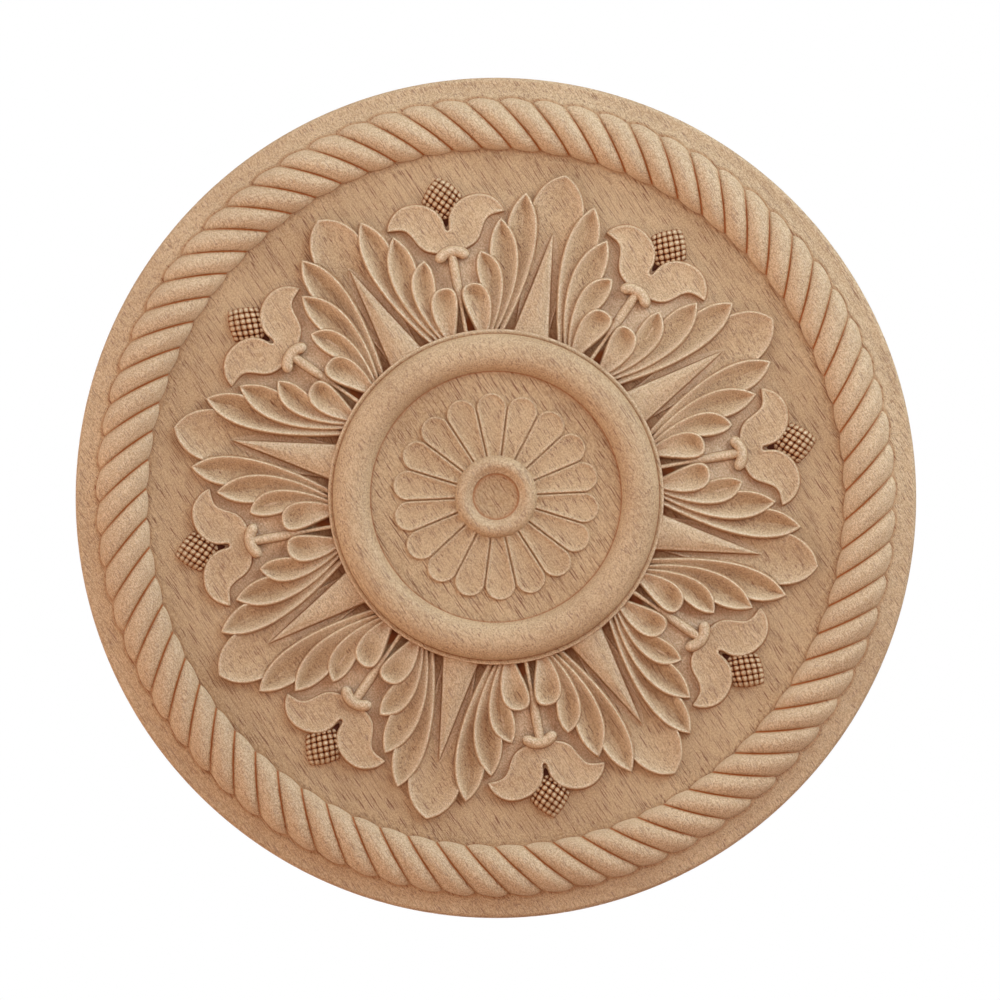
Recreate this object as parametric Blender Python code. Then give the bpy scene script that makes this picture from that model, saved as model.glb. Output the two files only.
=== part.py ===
"""Carved wooden rosette applique: a round plaque cut in relief from one board.

Metres, +Z up. The flat back lies in the XZ plane and the carved front faces -Y.
The origin is the centre of the back. Every height is measured from the back,
so a point at height h has y = -h. The carving is one body: the board with its
rope moulding is joined to the ring, the leaves and the flowers by a union.
"""
import math

import bpy
import numpy as np

MM = 0.001

# The board and its rope moulding
PLAQUE_RADIUS = 150.0 * MM
EDGE_ROUND = 1.8 * MM
EDGE_HEIGHT = 10.8 * MM
RIM_HEIGHT = 12.5 * MM
FIELD_HEIGHT = 11.3 * MM
ROPE_INNER_RADIUS = 123.9 * MM
ROPE_OUTER_RADIUS = 142.6 * MM
ROPE_HEIGHT = 17.0 * MM
ROPE_STRANDS = 75
ROPE_LEAN = math.radians(7.9)
ROPE_PHASE = math.radians(2.2)
ROPE_GROOVE = 2.3 * MM
ROPE_SCALLOP = 1.0 * MM
ROPE_ARC_STEPS = 4

# The ring moulding, the dish inside it and the button
RING_FOOT_RADIUS = 60.2 * MM
RING_LEDGE_HEIGHT = 15.4 * MM
RING_OUTER_RADIUS = 58.2 * MM
RING_INNER_RADIUS = 44.7 * MM
RING_HEIGHT = 20.0 * MM
DISH_HEIGHT = 15.2 * MM
RING_SEGMENTS = 56
RING_ARC_STEPS = 6
BUTTON_RADIUS = 15.4 * MM
BUTTON_LIP_RADIUS = 8.4 * MM
BUTTON_HEIGHT = 18.4 * MM
BUTTON_LIP_HEIGHT = 17.7 * MM
BUTTON_BOWL_HEIGHT = 15.6 * MM
BUTTON_SEGMENTS = 28

# The rosette in the dish
ROSETTE_PETALS = 18
ROSETTE_PHASE = math.radians(92.8)
ROSETTE_TIP_RADIUS = 37.0 * MM
ROSETTE_PETAL_HEIGHT = 16.3 * MM
ROSETTE_GROOVE = 0.7 * MM

# The eight flowers, each between two sprays of leaves
FLOWERS = 8
FLOWER_PHASE = math.radians(10.3)
SUNK = 4.0 * MM

# Each lobe is two edges, drawn in the flower's own frame as (across, out) in
# millimetres, then the height of its rim at the foot, half way and at the tip,
# the depth of its hollow and the number of cross sections along it. A lobe
# earlier in the list lies over a later one.
LOBES = {
    "bud": {
        "inner": [(3.9, 59.5), (1.8, 67.5), (-1.8, 76.2), (4.8, 76.6)],
        "outer": [(8.0, 59.5), (11.8, 67.0), (12.3, 76.6), (4.8, 76.6)],
        "heights": (14.2, 16.0, 15.0),
        "hollow": 1.8,
        "rows": 3,
    },
    "short_leaf": {
        "inner": [(8.4, 59.5), (11.0, 69.5), (4.4, 81.4), (10.2, 87.5)],
        "outer": [(9.7, 59.5), (15.0, 67.2), (21.4, 82.8), (10.2, 87.5)],
        "heights": (14.0, 15.3, 14.0),
        "hollow": 1.8,
        "rows": 3,
    },
    "middle_leaf": {
        "inner": [(10.0, 59.5), (15.0, 75.0), (9.3, 89.3), (19.5, 97.8)],
        "outer": [(11.4, 59.5), (20.0, 69.6), (28.6, 86.8), (19.5, 97.8)],
        "heights": (13.8, 14.8, 13.4),
        "hollow": 1.7,
        "rows": 4,
    },
    "long_leaf": {
        "inner": [(12.0, 59.0), (20.4, 75.0), (15.8, 98.2), (30.0, 105.0)],
        "outer": [(13.8, 59.0), (24.2, 72.1), (37.0, 92.3), (30.0, 105.0)],
        "heights": (13.6, 14.4, 13.1),
        "hollow": 1.6,
        "rows": 4,
    },
}

# The broad lobe and the spike stand half way between two flowers
BROAD_EDGE = [(6.1, 59.0), (6.4, 82.0), (17.8, 110.4), (0.0, 117.5)]
BROAD_HEIGHTS = (9.6, 12.6, 12.7)
BROAD_HOLLOW = 0.9
BROAD_ROWS = 4
SPIKE_FOOT = (6.4, 59.0)
SPIKE_TIP_OUT = 96.6
SPIKE_HEIGHTS = (14.4, 12.9)
SPIKE_CROWN = 0.5

# The flower: a stem, a cap, two petals and a seed head
STEM_HALF_WIDTHS = ((59.0, 0.8), (70.0, 0.8), (76.0, 1.8), (87.5, 1.8))
STEM_HEIGHT = 13.9
CAP_ARC = [(-4.3, 87.5), (-2.4, 90.0), (2.4, 90.0), (4.3, 87.5)]
CAP_RADIUS = 2.0
CAP_HEIGHT = 15.3
CAP_STEPS = 4
PETAL_UPPER = [
    [(0.0, 89.0), (0.0, 92.0), (0.9, 95.0), (0.9, 98.5)],
    [(0.9, 98.5), (1.3, 105.2), (7.2, 107.8), (11.8, 107.8)],
    [(11.8, 107.8), (17.2, 107.8), (20.7, 103.6), (21.3, 99.8)],
]
PETAL_LOWER = [
    [(5.4, 89.2), (11.6, 90.6), (11.6, 94.6), (13.6, 97.3)],
    [(13.6, 97.3), (15.3, 100.0), (17.5, 99.6), (21.3, 99.8)],
]
PETAL_HEIGHTS = (13.5, 13.5, 12.9)
PETAL_ROWS = 6
SEED_CENTRE_OUT = 108.2
SEED_REACH = 8.0
SEED_NARROWING = 0.92
SEED_BULGE = 0.14
SEED_EDGE_HEIGHT = 11.7
SEED_CROWN = 2.8
SEED_STEPS = 3


def face_point(across, out, height, axis):
    """A place on the front, given in the frame of a feature whose axis points
    at the angle axis, counted from +X towards +Z as seen from the front."""
    return (
        out * math.cos(axis) + across * math.sin(axis),
        -height,
        out * math.sin(axis) - across * math.cos(axis),
    )


def bezier(points, t):
    """The point at t on the cubic curve with these four control points."""
    weights = ((1 - t) ** 3, 3 * t * (1 - t) ** 2, 3 * t * t * (1 - t), t**3)
    return tuple(sum(w * p[k] for w, p in zip(weights, points)) for k in (0, 1))


def along(curves, t):
    """The point at t on curves that run end to end, each with an equal share."""
    place = min(t * len(curves), len(curves) - 1e-9)
    part = int(place)
    return bezier(curves[part], place - part)


def three_step(values, t):
    """A smooth rise and fall through three values, at t = 0, a half and 1."""
    start, middle, end = values
    return start * (1 - t) * (1 - 2 * t) + 4 * middle * t * (1 - t) + end * t * (2 * t - 1)


def add_solid(name, points, faces, collection):
    """A closed mesh object, with its faces turned outwards."""
    mesh = bpy.data.meshes.new(name)
    mesh.from_pydata(points, [], faces)
    mesh.update()
    obj = bpy.data.objects.new(name, mesh)
    collection.objects.link(obj)
    if signed_volume(mesh) < 0:
        mesh.flip_normals()
    return obj


def signed_volume(mesh):
    """Six times the volume within the mesh, positive if its faces point out."""
    mesh.calc_loop_triangles()
    corners = np.empty(len(mesh.vertices) * 3)
    mesh.vertices.foreach_get("co", corners)
    corners = corners.reshape(-1, 3)
    triangles = np.array([t.vertices[:] for t in mesh.loop_triangles])
    a, b, c = (corners[triangles[:, k]] for k in range(3))
    return float(np.einsum("ij,ij->", a, np.cross(b, c)))


def grid_faces(rows, columns, closed):
    """Quads between neighbouring rows of a grid that is numbered row by row."""
    faces = []
    for i in range(rows - 1):
        for j in range(columns if closed else columns - 1):
            k = (j + 1) % columns
            faces.append(
                (i * columns + j, i * columns + k, (i + 1) * columns + k, (i + 1) * columns + j)
            )
    return faces


def turned_solid(name, profile, segments, collection):
    """A body of revolution about the plaque's centre line. The profile is a
    list of (radius, height) from the centre underneath to the centre on top;
    its first and last points are on the centre line."""
    rings = profile[1:-1]
    points = []
    for radius, height in rings:
        for j in range(segments):
            points.append(face_point(0.0, radius, height, 2 * math.pi * j / segments))
    faces = grid_faces(len(rings), segments, closed=True)
    for (_, height), first in ((profile[0], 0), (profile[-1], (len(rings) - 1) * segments)):
        centre = len(points)
        points.append((0.0, -height, 0.0))
        for j in range(segments):
            edge = (first + j, first + (j + 1) % segments)
            faces.append((centre, *(edge if first else reversed(edge))))
    return add_solid(name, points, faces, collection)


def rope_row(turn, is_groove):
    """Radius, height and lean of the rope at a turn of 0 to pi about its core,
    from its inner to its outer foot. A groove lies lower and ends shorter."""
    middle = (ROPE_INNER_RADIUS + ROPE_OUTER_RADIUS) / 2
    half = (ROPE_OUTER_RADIUS - ROPE_INNER_RADIUS) / 2
    foot = FIELD_HEIGHT + (RIM_HEIGHT - FIELD_HEIGHT) * turn / math.pi
    reach = half - (ROPE_SCALLOP if is_groove else 0.0)
    crest = ROPE_HEIGHT - (ROPE_GROOVE if is_groove else 0.0)
    radius = middle - reach * math.cos(turn)
    height = foot + (crest - foot) * math.sin(turn)
    lean = ROPE_LEAN * (radius - middle) / (2 * half)
    return radius, height, lean


def roped_board(collection):
    """The board, turned about its centre, with the rope as part of its face.

    Each strand has two columns of points, one on its crest and one in the
    groove beside it, and the columns lean over across the rope. The plain
    edge of the board has one column to a strand."""
    corner = EDGE_ROUND * (1 - math.sin(math.radians(45)))
    edge = [(PLAQUE_RADIUS, 0.0), (PLAQUE_RADIUS, EDGE_HEIGHT - EDGE_ROUND)]
    edge.append((PLAQUE_RADIUS - corner, EDGE_HEIGHT - corner))
    pitch = 2 * math.pi / ROPE_STRANDS
    points = []
    for radius, height in edge:
        for j in range(ROPE_STRANDS):
            points.append(face_point(0.0, radius, height, ROPE_PHASE + pitch * j + ROPE_LEAN / 2))
    faces = grid_faces(len(edge), ROPE_STRANDS, closed=True)
    faces.append(tuple(reversed(range(ROPE_STRANDS))))

    columns = 2 * ROPE_STRANDS
    rope_first = len(points)
    for k in range(ROPE_ARC_STEPS + 1):
        turn = math.pi * (1 - k / ROPE_ARC_STEPS)
        for j in range(columns):
            radius, height, lean = rope_row(turn, is_groove=j % 2 == 1)
            points.append(face_point(0.0, radius, height, ROPE_PHASE + pitch * j / 2 + lean))
    rope = grid_faces(ROPE_ARC_STEPS + 1, columns, closed=True)
    faces += [tuple(rope_first + k for k in face) for face in rope]
    faces.append(tuple(range(len(points) - columns, len(points))))

    edge_last = rope_first - ROPE_STRANDS
    for j in range(ROPE_STRANDS):
        here, ahead = edge_last + j, edge_last + (j + 1) % ROPE_STRANDS
        crest, groove, crest_ahead = (rope_first + (2 * j + k) % columns for k in range(3))
        faces += [(here, groove, crest), (here, ahead, groove), (ahead, crest_ahead, groove)]
    return add_solid("carved_rosette", points, faces, collection)


def ring_and_dish(collection):
    """The ring moulding on its narrow ledge, and the flat dish inside it."""
    middle = (RING_OUTER_RADIUS + RING_INNER_RADIUS) / 2
    half = (RING_OUTER_RADIUS - RING_INNER_RADIUS) / 2
    profile = [(0.0, SUNK), (RING_FOOT_RADIUS, SUNK), (RING_FOOT_RADIUS, RING_LEDGE_HEIGHT)]
    for k in range(RING_ARC_STEPS + 1):
        turn = math.pi * k / RING_ARC_STEPS
        foot = RING_LEDGE_HEIGHT + (DISH_HEIGHT - RING_LEDGE_HEIGHT) * k / RING_ARC_STEPS
        profile.append(
            (middle + half * math.cos(turn), foot + (RING_HEIGHT - foot) * math.sin(turn))
        )
    profile.append((0.0, DISH_HEIGHT))
    return turned_solid("ring", profile, RING_SEGMENTS, collection)


def button(collection):
    """The round boss in the middle, with a bowl scooped out of it."""
    crest_radius = (BUTTON_RADIUS + BUTTON_LIP_RADIUS) / 2
    sunk = DISH_HEIGHT - SUNK
    profile = [
        (0.0, sunk),
        (BUTTON_RADIUS, sunk),
        (BUTTON_RADIUS, DISH_HEIGHT + 1.2 * MM),
        (crest_radius + 1.9 * MM, BUTTON_HEIGHT - 0.7 * MM),
        (crest_radius, BUTTON_HEIGHT),
        (BUTTON_LIP_RADIUS, BUTTON_LIP_HEIGHT),
        (BUTTON_LIP_RADIUS * 0.6, BUTTON_BOWL_HEIGHT + 0.5 * MM),
        (0.0, BUTTON_BOWL_HEIGHT),
    ]
    return turned_solid("button", profile, BUTTON_SEGMENTS, collection)


def crowned_slab(name, rows, tip, floor, axis, mirrored, collection):
    """A closed solid whose top is a strip with the same number of points in
    each row, from edge to edge, run together in one point at the tip, and whose
    floor is flat. Every point is (across, out, height) in millimetres."""
    side = -1.0 if mirrored else 1.0
    wide = len(rows[0])
    top = [point for row in rows for point in row] + [tip]
    around = [wide * i for i in range(len(rows))] + [len(top) - 1]
    around += [wide * i + wide - 1 for i in reversed(range(len(rows)))]
    around += list(reversed(range(1, wide - 1)))
    under = [(top[k][0], top[k][1], floor) for k in around]
    points = [
        face_point(side * across * MM, out * MM, height * MM, axis)
        for across, out, height in top + under
    ]
    faces = grid_faces(len(rows), wide, closed=False)
    last = wide * (len(rows) - 1)
    faces += [(last + j, last + j + 1, len(top) - 1) for j in range(wide - 1)]
    count = len(around)
    for k in range(count):
        n = (k + 1) % count
        faces.append((around[k], around[n], len(top) + n, len(top) + k))
    faces.append(tuple(len(top) + k for k in range(count)))
    return add_solid(name, points, faces, collection)


def lobe(name, shape, floor, axis, mirrored, collection):
    """One leaf: raised rims along both edges and a hollow between them."""
    rows = []
    for i in range(shape["rows"]):
        t = i / shape["rows"]
        inner, outer = bezier(shape["inner"], t), bezier(shape["outer"], t)
        rim = three_step(shape["heights"], t)
        sink = shape["hollow"] * min(1.0, 3.0 * t)
        middle = tuple((a + b) / 2 for a, b in zip(inner, outer))
        rows.append([(*inner, rim), (*middle, rim - sink), (*outer, rim)])
    tip = (*shape["inner"][3], shape["heights"][2])
    return crowned_slab(name, rows, tip, floor, axis, mirrored, collection)


def broad_lobe(axis, collection):
    """The broad leaf behind the others, which falls away to the spike's foot."""
    rows = []
    for i in range(BROAD_ROWS):
        t = i / BROAD_ROWS
        across, out = bezier(BROAD_EDGE, t)
        rim = three_step(BROAD_HEIGHTS, t)
        rows.append(
            [(-across, out, rim), (0.0, out, rim - BROAD_HOLLOW), (across, out, rim)]
        )
    tip = (*BROAD_EDGE[3], BROAD_HEIGHTS[2])
    return crowned_slab("broad_lobe", rows, tip, 4.2, axis, False, collection)


def spike(axis, collection):
    """The long tapering tongue on the broad lobe, with a faint ridge."""
    foot_across, foot_out = SPIKE_FOOT
    rows = []
    for t in (0.0, 0.5):
        across = foot_across * (1 - t)
        out = foot_out + (SPIKE_TIP_OUT - foot_out) * t
        height = SPIKE_HEIGHTS[0] + (SPIKE_HEIGHTS[1] - SPIKE_HEIGHTS[0]) * t
        rows.append(
            [(-across, out, height), (0.0, out, height + SPIKE_CROWN), (across, out, height)]
        )
    tip = (0.0, SPIKE_TIP_OUT, SPIKE_HEIGHTS[1])
    return crowned_slab("spike", rows, tip, 4.6, axis, False, collection)


def stem(axis, collection):
    """The flower's stalk, from the ring up to the cap."""
    rows = [[(-w, out, STEM_HEIGHT), (w, out, STEM_HEIGHT)] for out, w in STEM_HALF_WIDTHS]
    tip = (0.0, STEM_HALF_WIDTHS[-1][0] + 1.5, STEM_HEIGHT)
    return crowned_slab("stem", rows, tip, 5.0, axis, False, collection)


def cap(axis, collection):
    """The curled cap under the petals: a round bar bent to an arc."""
    foot = CAP_HEIGHT - 2.2
    rows = []
    for k in range(CAP_STEPS + 1):
        t = k / CAP_STEPS
        across, out = bezier(CAP_ARC, t)
        ahead, behind = bezier(CAP_ARC, min(t + 0.01, 1.0)), bezier(CAP_ARC, max(t - 0.01, 0.0))
        heading = math.atan2(ahead[1] - behind[1], ahead[0] - behind[0])
        offset = (-math.sin(heading) * CAP_RADIUS, math.cos(heading) * CAP_RADIUS)
        rows.append(
            [
                (across + offset[0], out + offset[1], foot),
                (across, out, CAP_HEIGHT),
                (across - offset[0], out - offset[1], foot),
            ]
        )
    rows.insert(0, end_row(rows[0], rows[1], foot))
    across, out, _ = end_row(rows[-1], rows[-2], foot)[1]
    return crowned_slab("cap", rows, (across, out, foot), 5.4, axis, False, collection)


def end_row(row, inward, foot):
    """A short row that rounds off the end of the cap beyond its last row."""
    (ax, ao, _), (mx, mo, _), (bx, bo, _) = row
    dx, do = mx - inward[1][0], mo - inward[1][1]
    length = math.hypot(dx, do)
    dx, do = dx / length * CAP_RADIUS * 0.9, do / length * CAP_RADIUS * 0.9
    return [
        (mx + (ax - mx) * 0.5 + dx, mo + (ao - mo) * 0.5 + do, foot),
        (mx + dx, mo + do, foot + 0.6),
        (mx + (bx - mx) * 0.5 + dx, mo + (bo - mo) * 0.5 + do, foot),
    ]


def flower_petal(axis, mirrored, collection):
    """One half of the open flower, curling out to a point at the side."""
    rows = []
    for i in range(PETAL_ROWS):
        t = i / PETAL_ROWS
        upper, lower = along(PETAL_UPPER, t), along(PETAL_LOWER, t)
        height = three_step(PETAL_HEIGHTS, t)
        rows.append([(*upper, height), (*lower, height)])
    tip = (*PETAL_UPPER[-1][3], PETAL_HEIGHTS[2])
    floor = 5.8 if mirrored else 6.0
    return crowned_slab("flower_petal", rows, tip, floor, axis, mirrored, collection)


def seed_head(axis, collection):
    """A domed, four-cornered cushion that stands on one corner."""
    steps = SEED_STEPS
    points = []
    for i in range(steps + 1):
        for j in range(steps + 1):
            a, b = 2 * i / steps - 1, 2 * j / steps - 1
            dome = math.sqrt(max(0.0, (1 - a * a) * (1 - b * b)))
            a, b = a * (1 + SEED_BULGE * (1 - b * b)), b * (1 + SEED_BULGE * (1 - a * a))
            across = SEED_REACH * SEED_NARROWING * (a - b) / 2
            out = SEED_REACH * (a + b) / 2
            height = SEED_EDGE_HEIGHT + SEED_CROWN * dome
            points.append((across, SEED_CENTRE_OUT + out, height))
    faces = grid_faces(steps + 1, steps + 1, closed=False)
    side = list(range(steps + 1))
    n = steps + 1
    around = side + [k * n + steps for k in side[1:]]
    around += [steps * n + k for k in reversed(side[:-1])] + [k * n for k in reversed(side[1:-1])]
    first = len(points)
    points += [(points[k][0], points[k][1], 6.4) for k in around]
    count = len(around)
    for k in range(count):
        m = (k + 1) % count
        faces.append((around[m], around[k], first + k, first + m))
    faces.append(tuple(first + k for k in reversed(range(count))))
    placed = [face_point(a * MM, o * MM, h * MM, axis) for a, o, h in points]
    return add_solid("seed_head", placed, faces, collection)


def rosette_petal(axis, collection):
    """One petal of the rosette: straight sides and a round end."""
    half_share = math.pi / ROSETTE_PETALS
    foot = BUTTON_RADIUS - 1.5 * MM
    cap_radius = (ROSETTE_TIP_RADIUS * math.sin(half_share) - ROSETTE_GROOVE / 2) / (
        1 + math.sin(half_share)
    )
    shoulder = ROSETTE_TIP_RADIUS - cap_radius
    rim = ROSETTE_PETAL_HEIGHT
    rows = []
    for out, half in (
        (foot, foot * math.tan(half_share) - ROSETTE_GROOVE / 2),
        (shoulder, cap_radius),
        (shoulder + cap_radius * math.sin(0.7), cap_radius * math.cos(0.7)),
    ):
        rows.append([(-half / MM, out / MM, rim / MM), (half / MM, out / MM, rim / MM)])
    tip = (0.0, ROSETTE_TIP_RADIUS / MM, rim / MM)
    return crowned_slab("rosette_petal", rows, tip, 11.8, axis, False, collection)


def beech(obj):
    """Bare, finely sanded pale hardwood."""
    material = bpy.data.materials.new("bare_wood")
    material.use_nodes = True
    shader = material.node_tree.nodes["Principled BSDF"]
    shader.inputs["Base Color"].default_value = (0.53, 0.32, 0.19, 1.0)
    shader.inputs["Roughness"].default_value = 0.62
    shader.inputs["Metallic"].default_value = 0.0
    obj.data.materials.append(material)


def main():
    for obj in list(bpy.data.objects):
        bpy.data.objects.remove(obj)
    scene_collection = bpy.context.scene.collection
    carving = bpy.data.collections.new("carving")
    scene_collection.children.link(carving)

    board = roped_board(scene_collection)
    ring_and_dish(carving)
    button(carving)
    for k in range(ROSETTE_PETALS):
        rosette_petal(ROSETTE_PHASE + 2 * math.pi * k / ROSETTE_PETALS, carving)
    for k in range(FLOWERS):
        axis = FLOWER_PHASE + 2 * math.pi * k / FLOWERS
        between = axis + math.pi / FLOWERS
        broad_lobe(between, carving)
        spike(between, carving)
        stem(axis, carving)
        seed_head(axis, carving)
        cap(axis, carving)
        for mirrored in (False, True):
            flower_petal(axis, mirrored, carving)
            for depth, (name, shape) in enumerate(LOBES.items()):
                lobe(name, shape, 3.0 + 0.3 * depth, axis, mirrored, carving)
    for obj in carving.objects:
        obj.hide_render = True
        obj.display_type = "WIRE"

    union = board.modifiers.new("carving", "BOOLEAN")
    union.operation = "UNION"
    union.operand_type = "COLLECTION"
    union.collection = carving
    union.solver = "EXACT"
    beech(board)


main()
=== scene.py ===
# %% [markdown]
# # A carved rosette applique
# The object is a round plaque, 300 mm across, carved in relief out of one board
# of pale hardwood and left bare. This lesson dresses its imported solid: every
# form is worked out again with numpy, finely enough for the rims of the leaves
# and the beads of the seed heads, and given one wood that runs through them all.
# Modelling by hand would do for one leaf, but a rule in numbers makes all the
# leaves alike and can be changed in one place.
# The plaque hangs upright: +X is to the right, +Z up, the flat back lies at
# y = 0 and the front faces -Y. A height is a distance in front of the back.

# %% The frame and the box it fills
import math

import bpy
import numpy as np
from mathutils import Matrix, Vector


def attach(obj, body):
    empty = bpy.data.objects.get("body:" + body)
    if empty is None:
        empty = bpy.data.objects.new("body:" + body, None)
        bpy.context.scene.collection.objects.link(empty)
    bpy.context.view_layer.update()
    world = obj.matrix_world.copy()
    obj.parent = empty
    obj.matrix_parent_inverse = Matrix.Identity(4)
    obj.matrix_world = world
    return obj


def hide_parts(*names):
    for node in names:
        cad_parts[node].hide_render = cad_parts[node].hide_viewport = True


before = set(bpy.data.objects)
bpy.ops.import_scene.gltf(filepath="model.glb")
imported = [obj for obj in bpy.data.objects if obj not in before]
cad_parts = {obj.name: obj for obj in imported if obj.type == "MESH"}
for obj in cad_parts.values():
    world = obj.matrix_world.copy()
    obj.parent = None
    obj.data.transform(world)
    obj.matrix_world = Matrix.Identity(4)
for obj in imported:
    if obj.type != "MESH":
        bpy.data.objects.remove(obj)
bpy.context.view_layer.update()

MM = 0.001

# %% [markdown]
# ## From arrays to a mesh
# A carver cuts a closed skin round each form: a top, walls and, where the form
# meets the board, nothing. Here each form is a stack of closed loops of points,
# joined by quads and closed by a fan at each end, so it can't leak. Its lower
# part is sunk in the board. Many such shells together make one piece, because
# the carving is one body and only its forms are told apart.

# %% Shells and pieces


def stacked(loops, tone=0.0):
    """A closed skin over loops, an array (rows, columns, 3): quads join each loop to the next, and each end
    loop is closed by triangles to its mean point. tone is stored with the points for the wood: above 0 it is
    rubbed paler by sanding and also painted lighter as highlight, down to -1 it is painted browner as shade
    in cuts and at the feet of forms, and below -1 it is painted darker still as deep shade."""
    rows, columns = loops.shape[:2]
    i, j = np.meshgrid(np.arange(rows - 1), np.arange(columns), indexing="ij")
    k = (j + 1) % columns
    quads = np.stack([i * columns + j, i * columns + k, (i + 1) * columns + k, (i + 1) * columns + j], -1)
    here = np.arange(columns)
    ahead = (here + 1) % columns
    count = rows * columns
    low = np.stack([np.full(columns, count), ahead, here], -1)
    high = np.stack([np.full(columns, count + 1), here, ahead], -1) + [0, *[count - columns] * 2]
    ends = [loops[0].mean(0), loops[-1].mean(0)]
    points = np.concatenate([loops.reshape(-1, 3), ends])
    tone = np.append(np.broadcast_to(tone, (rows, columns)), [0.0, 0.0])
    return outward(points, quads.reshape(-1, 4), np.concatenate([low, high]), tone)


def outward(points, quads, triangles, tone):
    """The shell with its faces turned out: six times the volume is the sum of
    a . (b x c) over all triangles, and a negative one means inside out."""
    flat = np.concatenate([triangles, quads[:, [0, 1, 2]], quads[:, [0, 2, 3]]])
    a, b, c = (points[flat[:, k]] for k in range(3))
    if np.einsum("ij,ij->", a, np.cross(b, c)) < 0:
        quads, triangles = quads[:, ::-1], triangles[:, ::-1]
    return points, quads, triangles, tone


def piece(name, shells, crease=38.0):
    """One mesh object from many shells, smooth except where two faces meet more
    sharply than crease, in degrees."""
    starts = np.cumsum([0] + [len(shell[0]) for shell in shells])
    quads = np.concatenate([shell[1] + start for shell, start in zip(shells, starts)])
    triangles = np.concatenate([shell[2] + start for shell, start in zip(shells, starts)])
    points, tone = (np.concatenate([shell[k] for shell in shells]) for k in (0, 3))
    mesh = bpy.data.meshes.new(name)
    mesh.vertices.add(len(points))
    mesh.vertices.foreach_set("co", points.astype(np.float32).ravel())
    corners = np.concatenate([quads.ravel(), triangles.ravel()])
    mesh.loops.add(len(corners))
    mesh.loops.foreach_set("vertex_index", corners.astype(np.int32))
    sizes = np.repeat([4, 3], [len(quads), len(triangles)])
    mesh.polygons.add(len(sizes))
    mesh.polygons.foreach_set("loop_start", (np.cumsum(sizes) - sizes).astype(np.int32))
    mesh.update(calc_edges=True)
    mesh.polygons.foreach_set("use_smooth", np.ones(len(sizes), bool))
    mesh.set_sharp_from_angle(angle=math.radians(crease))
    mesh.attributes.new("tone", "FLOAT", "POINT").data.foreach_set("value", tone.astype(np.float32))
    made = bpy.data.objects.new(name, mesh)
    bpy.context.scene.collection.objects.link(made)
    print(f"{name}: {len(shells)} shells, {2 * len(quads) + len(triangles)} triangles")
    return made


turn = 2 * np.pi * np.arange(8) / 8
drum = stacked(np.stack([np.stack([np.cos(turn), np.sin(turn), 0 * turn + end], -1) for end in (0, 1)]))
print("a drum of 8 sides:", *[len(part) for part in drum[:3]], "points, quads and triangles")

# %% [markdown]
# ## Places on the face
# The pattern turns round the plaque's centre, so each form is drawn once in its
# own frame, (across, out, height) in millimetres, where out is the distance from
# the centre along the form's axis. Turning that frame gives all its copies.
# Copies linked to one mesh would also do, but the carving is one body.

# %% The frame, and its eight places


def placed(across, out, height, axis):
    """Points in metres: the frame's out direction stands at the angle axis,
    counted from +X towards +Z, and across is a quarter turn clockwise of it."""
    across, out, height, axis = np.broadcast_arrays(across, out, height, axis)
    x = out * np.cos(axis) + across * np.sin(axis)
    z = out * np.sin(axis) - across * np.cos(axis)
    return np.stack([x, -height, z], -1) * MM


FLOWERS = 8
flower_axes = math.radians(10.3) + 2 * math.pi * np.arange(FLOWERS) / FLOWERS
between_axes = flower_axes + math.pi / FLOWERS
print("flower axes, degrees:", np.round(np.degrees(flower_axes), 1))

# %% [markdown]
# ## Curves and distances
# A carver draws an outline on the wood with a few sweeps and then cuts by how
# far the gouge is from that line. Cubic curves give the sweeps, and the distance
# to a line of short segments gives the rest. An exact distance to a curve would
# be slower, and no truer at this size.

# %% Curves


def bezier(controls, t):
    """Points on the cubic curve with four control points, at each t."""
    t = np.asarray(t)[:, None]
    p = np.asarray(controls, float)
    return (1 - t) ** 3 * p[0] + 3 * t * (1 - t) ** 2 * p[1] + 3 * t * t * (1 - t) * p[2] + t**3 * p[3]


def chained(curves, t):
    """Points on cubic curves that run end to end, each with an equal share of t."""
    t = np.asarray(t)
    part = np.minimum((t * len(curves)).astype(int), len(curves) - 1)
    every = np.stack([bezier(curve, t * len(curves) - k) for k, curve in enumerate(curves)])
    return every[part, np.arange(len(t))]


def through(values, t):
    """A smooth rise and fall through three values, at t = 0, a half and 1."""
    a, b, c = values
    return a * (1 - t) * (1 - 2 * t) + 4 * b * t * (1 - t) + c * t * (2 * t - 1)


def eased(low, high, x):
    """0 below low, 1 above high, and 3q^2 - 2q^3 between them."""
    q = np.clip((x - low) / (high - low), 0, 1)
    return q * q * (3 - 2 * q)


print("eased from 0 to 1:", np.round(eased(0, 1, np.linspace(0, 1, 5)), 2))

# %% Distances


def distance(points, line):
    """How far each point, an array (..., 2), is from a line of joined segments."""
    start, step = line[:-1], np.diff(line, axis=0)
    away = points[..., None, :] - start
    along = np.clip((away * step).sum(-1) / np.maximum((step * step).sum(-1), 1e-12), 0, 1)
    return np.linalg.norm(away - along[..., None] * step, axis=-1).min(-1)


def depth_inside(points, outline):
    """How far each point, an array (..., 2), lies inside a closed outline, and 0
    outside it. A point is inside if its ray towards +across crosses the outline
    an odd number of times."""
    start, end = outline, np.roll(outline, -1, axis=0)
    x, y = points[..., None, 0], points[..., None, 1]
    spans = (start[:, 1] > y) != (end[:, 1] > y)
    rise = np.where(end[:, 1] == start[:, 1], 1e-9, end[:, 1] - start[:, 1])
    meets = start[:, 0] + (y - start[:, 1]) / rise * (end[:, 0] - start[:, 0])
    inside = (spans & (x < meets)).sum(-1) % 2 == 1
    return np.where(inside, distance(points, np.concatenate([outline, outline[:1]])), 0.0)


square = np.array([(0.0, 0.0), (4.0, 0.0), (4.0, 4.0), (0.0, 4.0)])
spots = np.array([(1.0, 2.0), (5.0, 2.0)])
print("1 mm inside and 1 mm outside a square, depth:", depth_inside(spots, square))

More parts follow.
